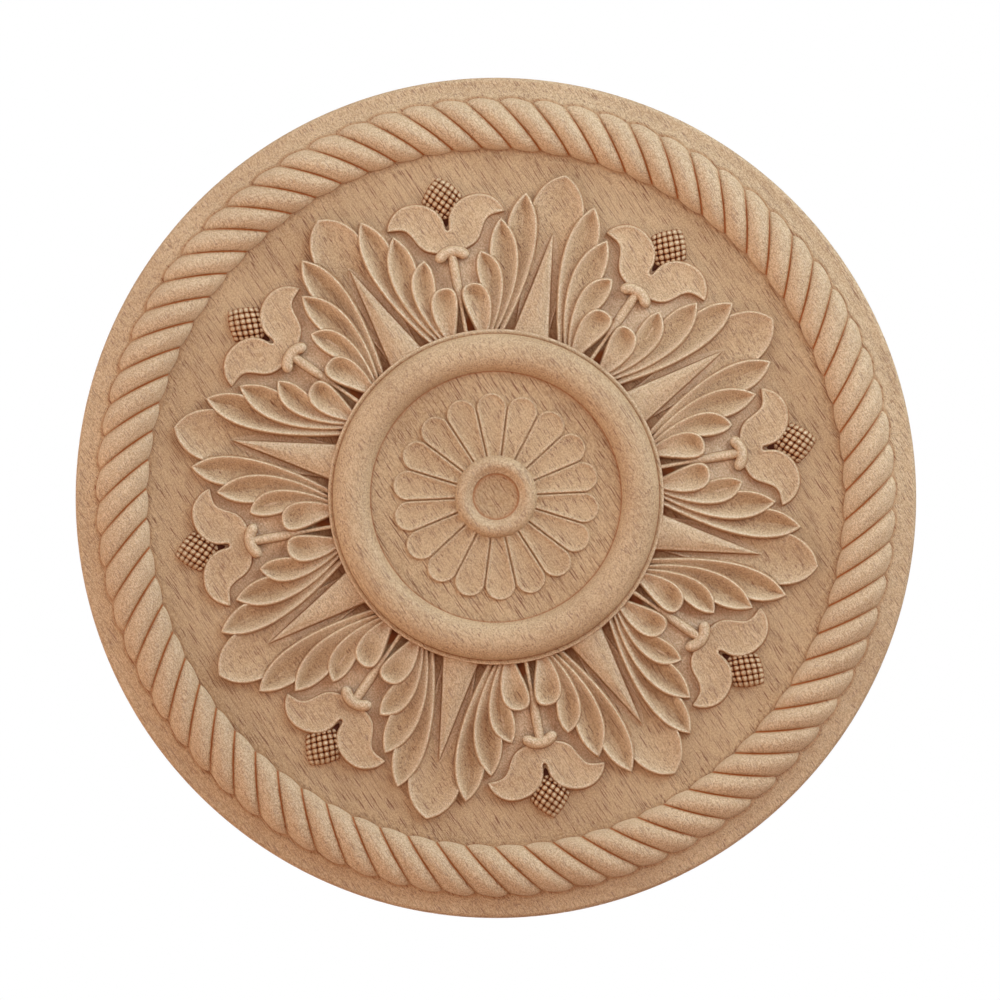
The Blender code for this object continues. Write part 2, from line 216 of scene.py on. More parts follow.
# %% [markdown]
# ## The rope border
# The rope is cut in the board's face: 75 strands that lean over at 45 degrees,
# each a rounded back between two narrow grooves, with rounded ends. It could be
# 75 separate beads, but then the grooves would be as wide as their mesh is
# coarse. So the whole board is one polar grid whose columns lean over with the
# strands, and every groove runs exactly along a column.

# %% The rope's measures in millimetres, and its rows
RIM_HEIGHT = 12.5
FIELD_HEIGHT = 11.3
ROPE_RADII = (123.9, 142.5)
ROPE_HEIGHT = 17.0
STRANDS = 75
STRAND_COLUMNS = 16
STRAND_PHASE = math.radians(2.2)
LEAN_PER_MM = math.radians(0.42)
GROOVE_DEPTH = 1.8
INNER_SCALLOP, OUTER_SCALLOP = 0.9, 1.5
FOOT_CUT = 0.3
# FOOT_TONE is painted shade along the feet of the rope.
FOOT_TONE = -0.4

rope_middle = sum(ROPE_RADII) / 2
rope_half = (ROPE_RADII[1] - ROPE_RADII[0]) / 2


def strand_share(columns):
    """Where each column lies across its strand, 0 and 1 in the grooves, with the
    columns drawn towards the grooves, which are the sharpest part."""
    q = np.arange(columns) / columns
    return q - 0.09 * np.sin(2 * np.pi * q)


def rope_rows(sunk):
    """Radius, height and tone of the rows over the rope, from its outer foot to its inner one. The section is
    half an ellipse. sunk is 0 on the back of a strand and 1 in a groove: there the height loses GROOVE_DEPTH
    times the sine of the turn, the width loses a scallop on each side, and the wood is painted browner as
    shade, most of all on the inner slope. The backs of the strands are paler, from sanding and painted
    highlight, and both feet are painted shade."""
    turn = np.pi * (1 - np.linspace(0, 1, 33))[:, None]
    foot = FIELD_HEIGHT + (RIM_HEIGHT - FOOT_CUT - FIELD_HEIGHT) * turn / np.pi
    scallop = INNER_SCALLOP + (OUTER_SCALLOP - INNER_SCALLOP) * turn / np.pi
    out = rope_middle - (rope_half - scallop * sunk) * np.cos(turn)
    height = foot + (ROPE_HEIGHT - GROOVE_DEPTH * sunk - foot) * np.sin(turn)
    browner = 1.1 + 0.5 * (1 - eased(0.4 * np.pi, 0.9 * np.pi, turn))
    tone = 0.5 - browner * eased(0.6, 1.0, sunk)
    tone[[0, -1]] = FOOT_TONE
    return out, height, tone


print("a strand is", round(2 * math.pi * rope_middle / STRANDS, 1), "mm wide along the rope")

# %% [markdown]
# ## The rim and the ground
# Outside the rope a plain rim sinks in a shallow cove to a softened edge. Inside it the ground was cut away
# to one level, a little higher under each flower, and in pits beside the ring, where the leaves stand close.
# Cut by hand, it flows, so its rises and pits are eased and added up, with no step between them. The ground
# among the leaves is painted paler than the open field, whose grain shows, as light that lifts the shade
# there, and the pits and the ground beside the stems are painted brown as shade.

# %% The rim
PLAQUE_RADIUS = 149.88
EDGE_HEIGHT = 10.8
EDGE_ROUND = 1.6
RIM_TONE = 0.35


def on_grid(*parts):
    """Parts of the board's grid, each with one column or with all, as one array."""
    return np.concatenate([np.broadcast_to(part, (len(part), STRANDS * STRAND_COLUMNS)) for part in parts])


def rim_rows(rope_foot):
    """Rows from the middle of the back, round the edge in a quarter circle and up
    the rim, whose height grows as the square of the way, to the rope's foot."""
    bend = np.radians(np.linspace(0, 90, 5))[:, None]
    q = np.linspace(0, 1, 10)[1:-1, None]
    shoulder = PLAQUE_RADIUS - EDGE_ROUND
    back_out = np.array([[75.0], [PLAQUE_RADIUS], [PLAQUE_RADIUS]])
    back_height = np.array([[0.0], [0.0], [4.0]])
    out = on_grid(back_out, shoulder + EDGE_ROUND * np.cos(bend), shoulder + (rope_foot - shoulder) * q)
    edge_height = EDGE_HEIGHT - EDGE_ROUND + EDGE_ROUND * np.sin(bend)
    height = on_grid(back_height, edge_height, EDGE_HEIGHT + (RIM_HEIGHT - EDGE_HEIGHT) * q**2)
    # The rim is paler, from sanding and painted highlight, and its last row, at the rope's foot, is painted
    # shade.
    tone = np.full_like(out, RIM_TONE)
    tone[: len(back_out)] = 0.0
    tone[-1] = FOOT_TONE
    return out, height, tone


print("the rim falls", round(RIM_HEIGHT - EDGE_HEIGHT, 1), "mm from the rope to its edge")

# %% The ground
GROUND_RADII = (118.0, 112.0, 106.0, 100.0, 96.0, 92.0, 88.0, 84.0, 78.0, 73.0, 70.0, 67.0, 64.0, 60.0, 30.0)
GROUND_SWELL, PIT_DEPTH = 1.5, 1.0
COVE_HEIGHT, COVE_WIDTH = 0.35, 6.0


def ground_rows(rope_foot, angle):
    """Rows from the rope's inner foot to the middle, under the ring. The height is the field's level, with a
    cove at the rope that falls off as a square, a swell in towards_flower, the cosine of eight times the
    angle from a flower, and a pit in the radius. Tone: painted paler among the leaves, as light that lifts
    the shade there, and painted brown as shade in the pits, most of all beside the flowers' stems."""
    first = rope_foot + (GROUND_RADII[0] - rope_foot) * np.array([[0.25], [0.6]])
    out = on_grid(first, np.array(GROUND_RADII)[:, None])
    towards_flower = np.cos(FLOWERS * (angle - flower_axes[0]))
    swell = GROUND_SWELL * (1 - eased(80.0, 94.0, out)) * eased(0.3, 0.85, towards_flower)
    pit = PIT_DEPTH * (1 - eased(62.0, 71.0, out))
    cove = COVE_HEIGHT * np.clip((out - GROUND_RADII[0]) / COVE_WIDTH, 0, 1) ** 2
    pale = (0.6 + 0.1 * eased(-0.3, 0.6, towards_flower)) * (1 - eased(94.0, 114.0, out))
    pit_shade = 1.2 * (1 - eased(60.5, 67.0, out))
    stem_shade = 1.2 * eased(0.75, 1.0, towards_flower) * (1 - eased(64.0, 73.0, out))
    return out, FIELD_HEIGHT + (swell - pit) + cove, pale - (pit_shade + stem_shade)


print("the ground lies", round(ROPE_HEIGHT - FIELD_HEIGHT, 1), "mm under the rope's crest")

# %% The whole board


def roped_board():
    """The board as loops from the middle of its back round to the middle of its
    face. With s the share of the way across a strand, a groove's depth is the
    share |2s - 1|^1.9 of the full one. On the rope each column's angle grows with
    its radius, by LEAN_PER_MM."""
    share = np.tile(strand_share(STRAND_COLUMNS), STRANDS)
    number = np.repeat(np.arange(STRANDS), STRAND_COLUMNS)
    angle = STRAND_PHASE + 2 * np.pi * (number + share - 0.5) / STRANDS
    rope = rope_rows(np.abs(2 * share - 1) ** 1.9)
    parts = rim_rows(rope[0][0]), rope, ground_rows(rope[0][-1], angle)
    out, height, tone = (np.concatenate(run) for run in zip(*parts))
    leant = angle + LEAN_PER_MM * (np.clip(out, *ROPE_RADII) - rope_middle)
    return stacked(placed(0.0, out, height, leant), tone)


board = piece("board_with_rope", [roped_board()], crease=32.0)

# %% [markdown]
# ## The ring, the dish and the button
# These were turned or cut as rounds: a fat half-round ring on a narrow ledge, a
# flat dish inside it, and a button with a bowl scooped out of its middle. They
# could be made with a screw or spin of a drawn line. Here each is a profile of
# radii, heights and tones that one function carries round the centre.

# %% The ring and the dish
RING_RADII = (44.8, 58.2)
LEDGE_RADIUS, LEDGE_HEIGHT = 59.9, 15.4
RING_HEIGHT, DISH_HEIGHT = 20.0, 15.6
RING_CUT = 0.2
RING_ROOT = 5.0


def turned(profile, columns):
    """A profile of (radius, height, tone) points, each carried round the centre
    line."""
    radius, height, tone = np.asarray(profile, float).T[:, :, None]
    return stacked(placed(0.0, radius, height, 2 * np.pi * np.arange(columns) / columns), tone)


def ring_profile():
    """From under the board up the ledge, whose corner has a painted highlight and whose wall is painted
    shade, down into a narrow cut, over the ring and into the dish. The ring's section is half an ellipse, and
    on the side of the dish its sine is raised to a power, for a softer foot. The ring is a little pale, from
    sanding and painted highlight, and painted brown as shade only at its feet."""
    turn = np.linspace(0, np.pi, 41)
    middle, half = sum(RING_RADII) / 2, (RING_RADII[1] - RING_RADII[0]) / 2
    foot = LEDGE_HEIGHT - RING_CUT + (DISH_HEIGHT - LEDGE_HEIGHT + RING_CUT) * turn / np.pi
    rise = np.sin(turn) ** (1 + 0.5 * eased(np.pi / 2, np.pi, turn))
    tone = 0.3 - (1 - rise) ** 4
    over = np.stack([middle + half * np.cos(turn), foot + (RING_HEIGHT - foot) * rise, tone], -1)
    ledge = [
        (30.0, RING_ROOT, -1.0),
        (LEDGE_RADIUS, RING_ROOT, -1.0),
        (LEDGE_RADIUS, LEDGE_HEIGHT - 0.7, -0.8),
        (LEDGE_RADIUS - 0.2, LEDGE_HEIGHT - 0.15, 0.6),
        (LEDGE_RADIUS - 0.6, LEDGE_HEIGHT, 0.6),
        (58.7, LEDGE_HEIGHT, 0.0),
    ]
    dish = [(44.3, DISH_HEIGHT, -0.3)] + [(radius, DISH_HEIGHT, 0.0) for radius in (43.5, 36.0, 14.0)]
    return np.concatenate([ledge, over, dish])


ring = piece("ring_and_dish", [turned(ring_profile(), 360)], crease=30.0)

# %% The button
BUTTON_RADIUS, BUTTON_CREST, BOWL_RADIUS = 14.8, 11.6, 8.2
BUTTON_HEIGHT, LIP_HEIGHT, BOWL_HEIGHT = 18.4, 16.9, 15.3
BUTTON_FOOT, BUTTON_ROOT = 15.2, 9.0
BUTTON_TONE = 0.4


def button_profile():
    """A quarter of an ellipse up to the crest, half a cosine down to the bowl's lip, a small sharp step, and
    a bowl whose depth falls off as the square of the radius. The crest is paler, from sanding and painted
    highlight, the bowl is painted brownest as shade in the corner under the lip, and the foot is painted
    brown as shade."""
    rise = np.linspace(0, np.pi / 2, 13)
    outer_out = BUTTON_CREST + (BUTTON_RADIUS - BUTTON_CREST) * np.cos(rise)
    outer_height = BUTTON_FOOT + (BUTTON_HEIGHT - BUTTON_FOOT) * np.sin(rise)
    q = np.linspace(0, 1, 12)[1:]
    inner_out = BUTTON_CREST + (BOWL_RADIUS + 0.4 - BUTTON_CREST) * q
    inner_height = LIP_HEIGHT + (BUTTON_HEIGHT - LIP_HEIGHT) * ((1 + np.cos(np.pi * q**1.3)) / 2)
    w = np.linspace(1, 0.06, 12)
    bowl_height = BOWL_HEIGHT + (LIP_HEIGHT - 0.5 - BOWL_HEIGHT) * w**2
    runs = [
        (outer_out, outer_height, BUTTON_TONE * np.sin(rise)),
        (inner_out, inner_height, BUTTON_TONE + 0 * q),
        (BOWL_RADIUS * w, bowl_height, -0.6 * w**8 - 0.1),
    ]
    foot = [(8.0, BUTTON_ROOT, -1.0), (BUTTON_RADIUS, BUTTON_ROOT, -1.0), (BUTTON_RADIUS, 14.9, -1.0)]
    return np.concatenate([foot] + [np.stack(run, -1) for run in runs])


button = piece("button", [turned(button_profile(), 144)], crease=30.0)

# %% [markdown]
# ## One leaf
# A leaf is a hollow between two raised rims that meet in a point. It could be
# sculpted, but a rule makes all of them alike: draw its two edges, span them
# with rows of points, and let the height depend on how far each point is from
# the edge. Close to the edge it rounds over, then it sinks towards the middle.
# The rims are sanded palest and carry a painted highlight, the hollow is painted browner as shade, and a fine
# line of painted shade runs where the top breaks into the wall.

# %% The points of a carved lobe
TOP_POINTS = 27
EDGE_ZONE = 1.3
HAIR = 0.01


def edge_spread(width):
    """Where the points of each row lie across it, from 0 to 1: the outer six on
    each side stay within EDGE_ZONE of the edge, and the others share the rest."""
    q = np.linspace(0, 1, TOP_POINTS)
    mirrored = np.minimum(q, 1 - q)
    zone = (np.minimum(EDGE_ZONE, 0.27 * width) / width)[:, None]
    near = zone * (mirrored / 0.23) ** 1.5
    far = zone + (mirrored - 0.23) / 0.27 * (0.5 - zone)
    share = np.where(mirrored < 0.23, near, far)
    return np.where(q <= 0.5, share, 1 - share)


def drawn_apart(left, right):
    """The two edges of a lobe, moved apart where they meet in a point, in the
    direction of the nearest wider row: a tip keeps a hair's width, so that its
    faces keep an area and the skin stays closed."""
    gap = right - left
    width = np.linalg.norm(gap, axis=1)
    wide = np.flatnonzero(width > HAIR)
    nearest = wide[np.abs(np.arange(len(width))[:, None] - wide).argmin(1)]
    aside = gap[nearest] / width[nearest, None] * np.maximum(HAIR - width, 0)[:, None] / 2
    return left - aside, right + aside


print("across a row 10 mm wide, mm:", np.round(10 * edge_spread(np.array([10.0]))[0][:8], 2), "and so on")

# %% The rule for its height
EDGE_RADIUS = 0.6
CRISPNESS = 0.45
DRAFT = 0.4
COVERED_DEPTH, COVERED_SOFT = 3.6, 1.4


def lobe(left, right, rim, hollow, soft, floor, step=0.0, edge=None, over=(), wall=-0.75, pale=0.65):
    """A closed shell under a carved top. Rows of points span left and right, arrays (rows, 2) of (across,
    out). The edge line is their outline, unless edge gives another. At distance d from it the top is rim - r
    + sqrt(r^2 - (r - d)^2) within the edge's radius r. Further in it sinks by step * (1 - exp(-x /
    CRISPNESS)) + hollow * (1 - exp(-x / soft)) with x = d - r, the first part for a crisp inner side of the
    rim. Under the shapes named in over it sinks out of sight. Walls go down to floor and stand DRAFT further
    out there. The top's tone is pale, from sanding and painted light, with a painted highlight on the rim,
    painted shade in the hollow and a dark line of painted shade on the edge, and wall is the tone of the
    walls, painted shade."""
    left, right = drawn_apart(left, right)
    width = np.linalg.norm(right - left, axis=1)
    outline = np.concatenate([left, right[::-1]])
    top = left[:, None] + (right - left)[:, None] * edge_spread(width)[..., None]

    d = distance(top, outline if edge is None else edge)
    r = EDGE_RADIUS
    rounding = r - np.sqrt(np.maximum(r * r - np.maximum(r - d, 0) ** 2, 0))
    inside = np.maximum(d - r, 0)
    sunk = np.broadcast_to(hollow, len(left))[:, None] * (1 - np.exp(-inside / soft))
    height = np.asarray(rim)[:, None] - rounding - (step * (1 - np.exp(-inside / CRISPNESS)) + sunk)
    for other in over:
        covered = depth_inside(top, other["outline"])
        height = height - COVERED_DEPTH * (1 - np.exp(-covered / COVERED_SOFT))

    aside = (right - left) / np.maximum(width, 5 * HAIR)[:, None] * DRAFT
    walls = [right + aside * 0.85, right + aside, left - aside, left - aside * 0.85]
    base = np.full(len(top), floor)
    drop = [height[:, -1] - 0.9, base, base, height[:, 0] - 0.9]
    # A painted highlight on the rim, painted shade in the hollow and a line of painted shade on the edge.
    rubbed_and_lit = 0.3 * np.exp(-(((d - 0.5) / 0.5) ** 2))
    tone = pale + rubbed_and_lit - 0.22 * np.maximum(sunk, 0) - 0.8 * np.exp(-((d / 0.12) ** 2))
    side = np.broadcast_to(wall, len(top))[:, None] * [1.0, 1.2, 1.2, 1.0]
    return {
        "plan": np.concatenate([top] + [w[:, None] for w in walls], axis=1),
        "height": np.concatenate([height, np.stack(drop, -1)], axis=1),
        "tone": np.concatenate([tone, side], axis=1),
        "outline": outline,
    }


print("the edge of a lobe is rounded by", EDGE_RADIUS, "mm, and its walls lean out by", DRAFT, "mm")

# %% A lobe in its place


def carved(shape, axis, mirrored=False):
    """The shell of a lobe, turned to its axis."""
    plan = shape["plan"]
    across = -plan[..., 0] if mirrored else plan[..., 0]
    return stacked(placed(across, plan[..., 1], shape["height"], axis), shape["tone"])


def finer_ends(rows, power=1.7):
    """Row places from 0 to 1, closer together towards 1, where a leaf turns."""
    return 1 - (1 - np.linspace(0, 1, rows)) ** power


print("the last gap of 34 rows is", round(1000 * (1 - finer_ends(34)[-2]), 1), "thousandths of a leaf")

# %% [markdown]
# ## The sprays of leaves
# On each side of a flower's stem four lobes fan out from the ring: a teardrop
# bud, then three pointed leaves, each longer and lower than the one before,
# which lies over its inner edge. Each is drawn once, as two cubic curves from
# its foot to its tip. The outlines could be traced by hand eight times over, but
# a carver worked from one template, and so does this.

# %% Four lobes, eight times on both sides
LEAVES = {
    "bud": {
        "inner": [(3.9, 59.0), (1.8, 67.5), (-1.8, 76.2), (4.8, 76.6)],
        "outer": [(8.0, 59.0), (11.8, 67.0), (12.3, 76.6), (4.8, 76.6)],
        "rim": (14.2, 16.0, 15.0), "closed": 0.0,
    },
    "short": {
        "inner": [(8.4, 59.0), (11.0, 69.5), (4.4, 81.4), (10.2, 87.5)],
        "outer": [(9.7, 59.0), (15.0, 67.2), (21.4, 82.8), (10.2, 87.5)],
        "rim": (14.0, 15.3, 14.0), "closed": 0.45,
    },
    "middle": {
        "inner": [(10.0, 59.0), (15.0, 75.0), (9.3, 89.3), (19.5, 97.8)],
        "outer": [(11.4, 59.0), (20.0, 69.6), (28.6, 86.8), (19.5, 97.8)],
        "rim": (13.8, 14.8, 13.4), "closed": 0.45,
    },
    "long": {
        "inner": [(12.0, 58.5), (20.4, 75.0), (15.8, 98.2), (30.0, 105.0)],
        "outer": [(13.8, 58.5), (24.2, 72.1), (37.0, 92.3), (30.0, 105.0)],
        "rim": (13.6, 14.4, 13.1), "closed": 0.45,
    },
}
LEAF_HOLLOW, LEAF_SOFT, LEAF_STEP, LEAF_FLOOR = 2.9, 2.2, 0.3, 6.5


def leaf(name, before, rows=34):
    """One lobe of the spray, under the ones before. Its inner side has a rim only
    beyond the share closed of its length, and its hollow is shallow at the foot
    and a little shallower again at the tip."""
    drawn = LEAVES[name]
    t = finer_ends(rows)
    left, right = bezier(drawn["inner"], t), bezier(drawn["outer"], t)
    edge = np.concatenate([left[t >= drawn["closed"]], right[::-1]])
    hollow = LEAF_HOLLOW * (0.4 + 0.6 * eased(0.15, 0.6, t)) * (1 - 0.2 * eased(0.85, 1.0, t))
    return lobe(left, right, through(drawn["rim"], t), hollow, LEAF_SOFT, LEAF_FLOOR, LEAF_STEP, edge, before)


spray = []
for name in LEAVES:
    spray.append(leaf(name, spray))
sides = [(axis, mirrored) for axis in flower_axes for mirrored in (False, True)]
leaf_sprays = piece("leaf_sprays", [carved(shape, *side) for side in sides for shape in spray])

# %% [markdown]
# ## The broad leaves and their tongues
# Half way between two flowers a broad round leaf lies behind the sprays, almost
# level inside a fine rim. On it stands a long tapering tongue with crisp sides.
# Both are lobes whose two edges mirror each other. The broad leaf could run on
# under its neighbours at full height, but then it would show through them.

# %% Broad leaf and tongue
BROAD_EDGE = [(6.1, 58.5), (6.4, 82.0), (17.8, 110.4), (0.0, 117.5)]
BROAD_RIM = (11.2, 13.2, 13.4)
BROAD_HOLLOW, BROAD_SOFT, BROAD_STEP = 1.8, 3.8, 0.35
TONGUE_FOOT, TONGUE_TIP = 58.5, 96.6
TONGUE_HALF_WIDTH = 6.4
TONGUE_RIM = (13.7, 13.2, 12.6)
TONGUE_SWELL = 1.3
BROAD_FLOOR = 6.0


def seen_from(outline, turn):
    """An outline's mirror image, in a frame turned anticlockwise by turn."""
    across, out = -outline[:, 0], outline[:, 1]
    sine, cosine = np.sin(turn), np.cos(turn)
    return np.stack([across * cosine + out * sine, out * cosine - across * sine], -1)


def broad_leaf(rows=40):
    """The same edge on both sides, mirrored, round to a blunt tip. It sinks
    under the long leaves of both neighbours."""
    t = finer_ends(rows)
    right = bezier(BROAD_EDGE, t)
    long_leaf = seen_from(spray[-1]["outline"], math.pi / FLOWERS)
    over = [{"outline": long_leaf * side} for side in ([1, 1], [-1, 1])]
    left, rim = right * [-1, 1], through(BROAD_RIM, t)
    return lobe(left, right, rim, BROAD_HOLLOW, BROAD_SOFT, BROAD_FLOOR, BROAD_STEP, over=over, pale=0.5)


def tongue(rows=24):
    """Straight sides that run together, and a top that swells a little inside
    its edges, which is a hollow of less than nothing."""
    t = np.linspace(0, 1, rows)
    right = np.stack([TONGUE_HALF_WIDTH * (1 - t), TONGUE_FOOT + (TONGUE_TIP - TONGUE_FOOT) * t], -1)
    return lobe(right * [-1, 1], right, through(TONGUE_RIM, t), -TONGUE_SWELL, 2.0, BROAD_FLOOR, pale=0.45)


broad_shape, tongue_shape = broad_leaf(), tongue()
broad_shells = [carved(shape, axis) for axis in between_axes for shape in (broad_shape, tongue_shape)]
broad_leaves = piece("broad_leaves", broad_shells)

# %% [markdown]
# ## The bell flowers
# A flower has a thin stem, a curled cap and two petals that open to pointed
# ends, with a slit between them where the seed head comes out. The two petals
# are one surface, spanned from the lower edge to the upper, so that no seam
# shows under the slit. Stem and cap are round bars of changing thickness: a
# curve with a bevel would do, but a bar made of loops closes like the rest.

# %% The petals
PETAL_UPPER = [
    [(0.0, 96.6), (0.6, 96.6), (0.85, 97.4), (0.85, 98.6)],
    [(0.85, 98.6), (1.3, 105.2), (7.2, 107.8), (11.8, 107.8)],
    [(11.8, 107.8), (17.2, 107.8), (20.7, 103.6), (21.3, 99.8)],
]
PETAL_LOWER = [
    [(0.0, 87.5), (2.0, 87.8), (3.6, 88.5), (5.4, 89.2)],
    [(5.4, 89.2), (11.6, 90.6), (11.6, 94.6), (13.6, 97.3)],
    [(13.6, 97.3), (15.3, 100.0), (17.5, 99.6), (21.3, 99.8)],
]
PETAL_RIM = (13.5, 13.5, 12.9)
PETAL_FLOOR = 6.0


def petals(rows=97):
    """Both petals: rows from the left tip, past the middle, to the right tip. The walls are painted darkest
    as shade at the slit."""
    s = np.linspace(-1, 1, rows)
    t = np.abs(s)
    side = np.stack([np.where(s < 0, -1.0, 1.0), np.ones(rows)], -1)
    upper, lower = chained(PETAL_UPPER, t) * side, chained(PETAL_LOWER, t) * side
    edge = np.concatenate([upper, lower[::-1]])
    painted_deep_shade = -0.9 - 0.9 * (1 - eased(0.0, 0.3, t))
    rim = through(PETAL_RIM, t)
    return lobe(upper, lower, rim, 0.5, 2.0, PETAL_FLOOR, 0.2, edge, wall=painted_deep_shade, pale=0.4)


petal_pair = petals()
print("the petals are", round(np.ptp(petal_pair["outline"][:, 0]), 1), "mm from tip to tip")

# %% Stem and cap
STEM_TOP = 14.6
CAP_TOP, CAP_RADIUS = 15.3, 2.15
CAP_PATH = [(-5.2, 85.7), (-3.6, 90.2), (3.6, 90.2), (5.2, 85.7)]


def bar(path, radius, height, columns=20):
    """A round bar along path, an array (rows, 2), with a radius and a height of its middle at each row. Its
    loops stand square to the path. It is paler along its back, from sanding and painted highlight, and
    painted browner as shade with the square of the way down its sides."""
    heading = np.gradient(path, axis=0)
    heading /= np.linalg.norm(heading, axis=1, keepdims=True)
    square = heading[:, ::-1] * [1, -1]
    turn = 2 * np.pi * np.arange(columns) / columns
    return {
        "plan": path[:, None] + square[:, None] * (radius[:, None] * np.cos(turn))[..., None],
        "height": height[:, None] + radius[:, None] * np.sin(turn),
        "tone": 0.7 - 2.9 * (1 - np.sin(turn)) ** 2 + 0 * radius[:, None],
    }


def stem():
    """Thin at the ring and thicker from the buds up to the cap."""
    out = np.linspace(58.5, 90.0, 24)
    radius = 0.75 + 1.1 * eased(68.0, 78.0, out)
    return bar(np.stack([0 * out, out], -1), radius, STEM_TOP - radius)


def cap(rows=33):
    """A bar bent down at both ends, which are rounded as half spheres: near an
    end the radius falls as the square root of 1 less the way's square."""
    q = np.linspace(0, 1, rows)
    near_end = np.maximum(np.abs(2 * q - 1) - 0.7, 0) / 0.305
    radius = CAP_RADIUS * np.sqrt(np.clip(1 - near_end**2, 0.0004, 1))
    return bar(bezier(CAP_PATH, q), radius, np.full(rows, CAP_TOP - CAP_RADIUS))


flower = [petal_pair, stem(), cap()]
flowers = piece("bell_flowers", [carved(shape, axis) for axis in flower_axes for shape in flower])

# %% [markdown]
# ## The seed heads
# Each is a cushion on one corner, crossed by two sets of fine cuts that leave rounded beads between them.
# Thirty-six small balls could stand there, but the beads of the real one are joined at their feet. So it is
# one grid, turned by 45 degrees to follow the cuts. The bottoms of the cuts are painted dark as shade, most
# of all beside the petals, so the depth between the beads is stored with the points as their tone.

# %% The beaded cushion
SEED_OUT, SEED_REACH, SEED_NARROWING, SEED_BULGE = 108.2, 8.0, 0.92, 0.14
SEED_EDGE, SEED_DOME = 11.7, 2.8
SEED_BEADS = 6
SEED_STEPS = 10
SEED_FLOOR = 6.0
CUT_DEPTH = 1.7


def seed_head():
    """A square grid (a, b) from -1 to 1, bulged to a * (1 + k(1 - b^2)), domed as
    the square root of (1 - a^2)(1 - b^2), less the cuts. The cuts lie where a
    bead's |sin| is 0, in a and in b, and are deepest where two of them cross."""
    n = SEED_BEADS * SEED_STEPS + 1
    a, b = np.meshgrid(*[np.linspace(-1, 1, n)] * 2, indexing="ij")
    dome = np.sqrt((1 - a * a) * (1 - b * b))
    beads = [np.abs(np.sin(np.pi * SEED_BEADS * (c + 1) / 2)) for c in (a, b)]
    cut = 1 - (beads[0] ** 0.6 + beads[1] ** 0.6) / 2
    height = SEED_EDGE + SEED_DOME * dome - CUT_DEPTH * cut * np.clip(3 * dome, 0.25, 1)
    bulged = a * (1 + SEED_BULGE * (1 - b * b)), b * (1 + SEED_BULGE * (1 - a * a))
    across = SEED_REACH * SEED_NARROWING * (bulged[0] - bulged[1]) / 2
    out = SEED_OUT + SEED_REACH * (bulged[0] + bulged[1]) / 2
    return across, out, height, cut


def skirted(across, out, height, tone, floor, axis):
    """The grid's top, a wall from its border down to floor, and a fan under it."""
    n = len(across)
    index = np.arange(n * n).reshape(n, n)
    quads = np.stack([index[:-1, :-1], index[1:, :-1], index[1:, 1:], index[:-1, 1:]], -1).reshape(-1, 4)
    border = np.concatenate([index[:-1, 0], index[-1, :-1], index[:0:-1, -1], index[0, :0:-1]])
    around = np.arange(len(border))
    ahead = np.roll(around, -1)
    wall = np.stack([border[ahead], border, n * n + around, n * n + ahead], -1)
    under = np.stack([np.full(len(border), n * n + len(border)), n * n + ahead, n * n + around], -1)
    low = placed(across.ravel()[border], out.ravel()[border], floor, axis)
    points = np.concatenate([placed(across, out, height, axis).reshape(-1, 3), low, [low.mean(0)]])
    # The wall and the fan under it are painted brown as shade.
    tone = np.append(tone.ravel(), np.full(len(border) + 1, -1.0))
    return outward(points, np.concatenate([quads, wall]), under, tone)


across, out, height, cut = seed_head()
# The cuts are painted dark as shade, darkest beside the petals.
painted_cut_shade = 0.8 - cut * (5.2 - 1.8 * eased(104.0, 116.0, out))
heads = [skirted(across, out, height, painted_cut_shade, SEED_FLOOR, axis) for axis in flower_axes]
print("a bead is", round(SEED_REACH * math.hypot(1, SEED_NARROWING) / SEED_BEADS, 1), "mm across")

# %% The slit's strip


def slit_strip(rows=9):
    """The cuts run on down the slit between the petals, as a narrow strip painted dark as shade."""
    path = np.stack([np.zeros(rows), np.linspace(98.0, 102.5, rows)], -1)
    strip = bar(path, np.linspace(0.7, 2.0, rows), np.full(rows, 10.6), 12)
    return {**strip, "tone": np.full_like(strip["tone"], -2.0)}


strips = [carved(slit_strip(), axis) for axis in flower_axes]
seed_heads = piece("seed_heads", heads + strips, crease=60.0)

# %% [markdown]
# ## The rosette
# Eighteen petals with round ends stand in the dish about the button. Each is a
# fine rim round a level hollow, with a narrow groove to the next. They could be
# cut out of one disc by the grooves, but as lobes of their own they get the same
# rims as the leaves.

# %% Eighteen petals
ROSETTE_PETALS = 18
ROSETTE_PHASE = math.radians(92.8)
ROSETTE_TIP = 37.0
ROSETTE_GROOVE = 0.3
ROSETTE_HEIGHT, ROSETTE_FLOOR = 16.4, 13.5


def rosette_petal(rows=36):
    """Straight sides that open with the petal's share of the circle, then a half
    circle whose rows close as its cosine."""
    share = math.pi / ROSETTE_PETALS
    end = (ROSETTE_TIP * math.sin(share) - ROSETTE_GROOVE / 2) / (1 + math.sin(share))
    shoulder = ROSETTE_TIP - end
    foot = BUTTON_RADIUS - 1.5
    foot_half = foot * math.sin(share) - ROSETTE_GROOVE / 2
    straight = np.linspace(foot, shoulder, rows // 2)
    turn = np.linspace(0, math.pi / 2, rows - rows // 2 + 1)[1:]
    out = np.concatenate([straight, shoulder + end * np.sin(turn)])
    half = np.concatenate([foot_half + (straight - foot) * math.tan(share), end * np.cos(turn)])
    right = np.stack([half, out], -1)
    rim = np.full(len(out), ROSETTE_HEIGHT)
    return lobe(right * [-1, 1], right, rim, 0.5, 1.5, ROSETTE_FLOOR, 0.25, pale=0.25)


petal_shape = rosette_petal()
petal_axes = ROSETTE_PHASE + 2 * math.pi * np.arange(ROSETTE_PETALS) / ROSETTE_PETALS
rosette = piece("rosette_petals", [carved(petal_shape, axis) for axis in petal_axes])

